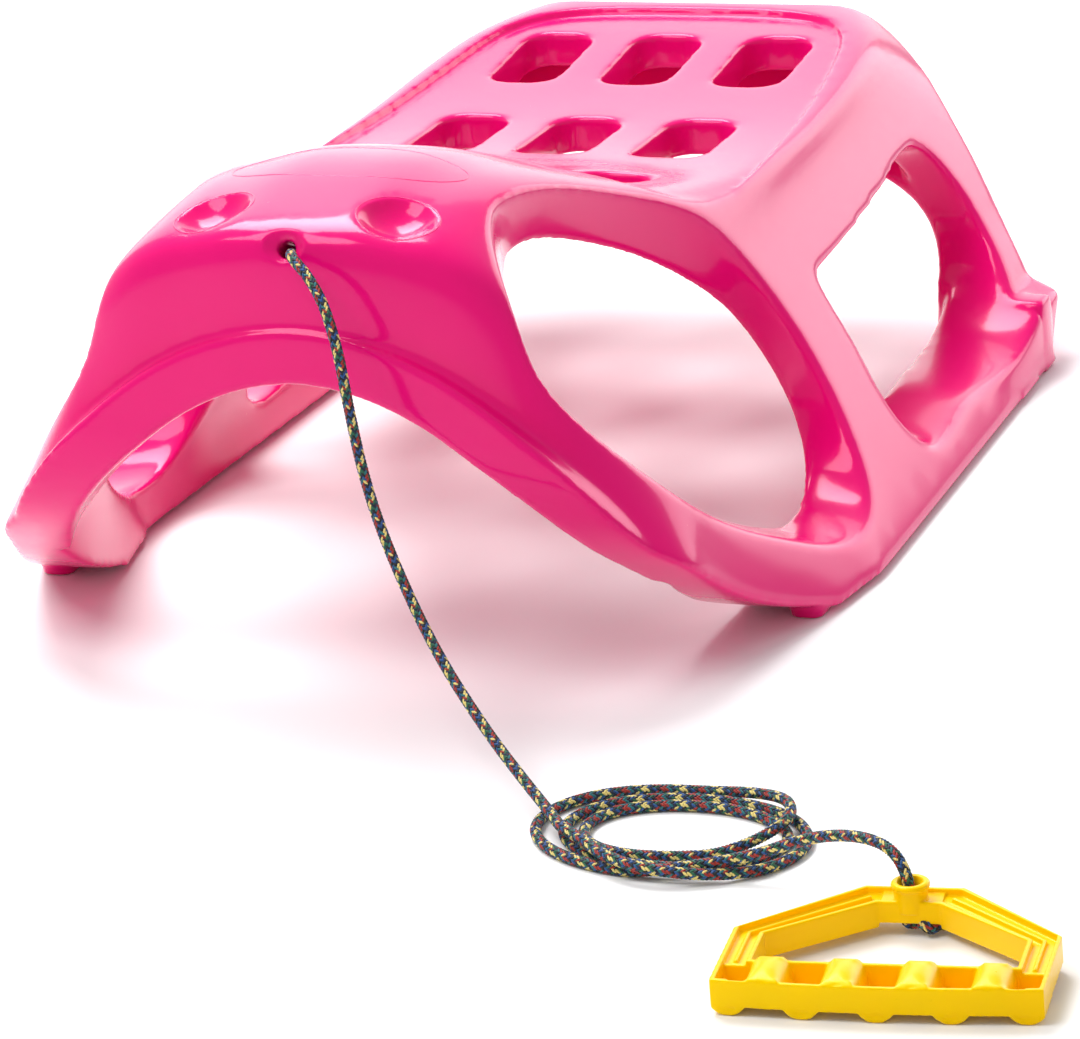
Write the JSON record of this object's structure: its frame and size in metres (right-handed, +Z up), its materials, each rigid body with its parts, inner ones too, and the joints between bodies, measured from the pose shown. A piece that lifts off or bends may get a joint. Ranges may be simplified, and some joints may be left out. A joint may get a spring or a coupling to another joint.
{
  "type": "child's plastic sled with pull rope",
  "caption": "Blow-moulded child's sled on two runners with a hood, side openings, a slotted seat, a braided pull rope and a moulded handle.",
  "frame": {"origin": "on the ground under the middle of the sled's body", "axes": "+X across the sled, -Y the way it travels, +Z up"},
  "size_m": [0.6208, 0.8571, 0.225],
  "materials": {
    "body_pink": "glossy blow-moulded polyethylene",
    "rope_braid": "braided polypropylene cord, dark blue and green with red and yellow tracer yarns",
    "handle_yellow": "glossy injection-moulded polypropylene"
  },
  "bodies": {
    "sled": {"sled_body": "body_pink", "rope_lead": "rope_braid", "rope_coil": "rope_braid", "rope_tail": "rope_braid", "nose_knot": "rope_braid"},
    "handle": {"pull_handle": "handle_yellow", "handle_knot": "rope_braid"}
  },
  "joints": [
    {"name": "handle_swivel", "type": "hinge", "parent": "sled", "child": "handle", "pos_m": [0.335, -0.484, 0.0099], "axis": [0, 0, 1], "range_deg": [-50, 100]}
  ]
}
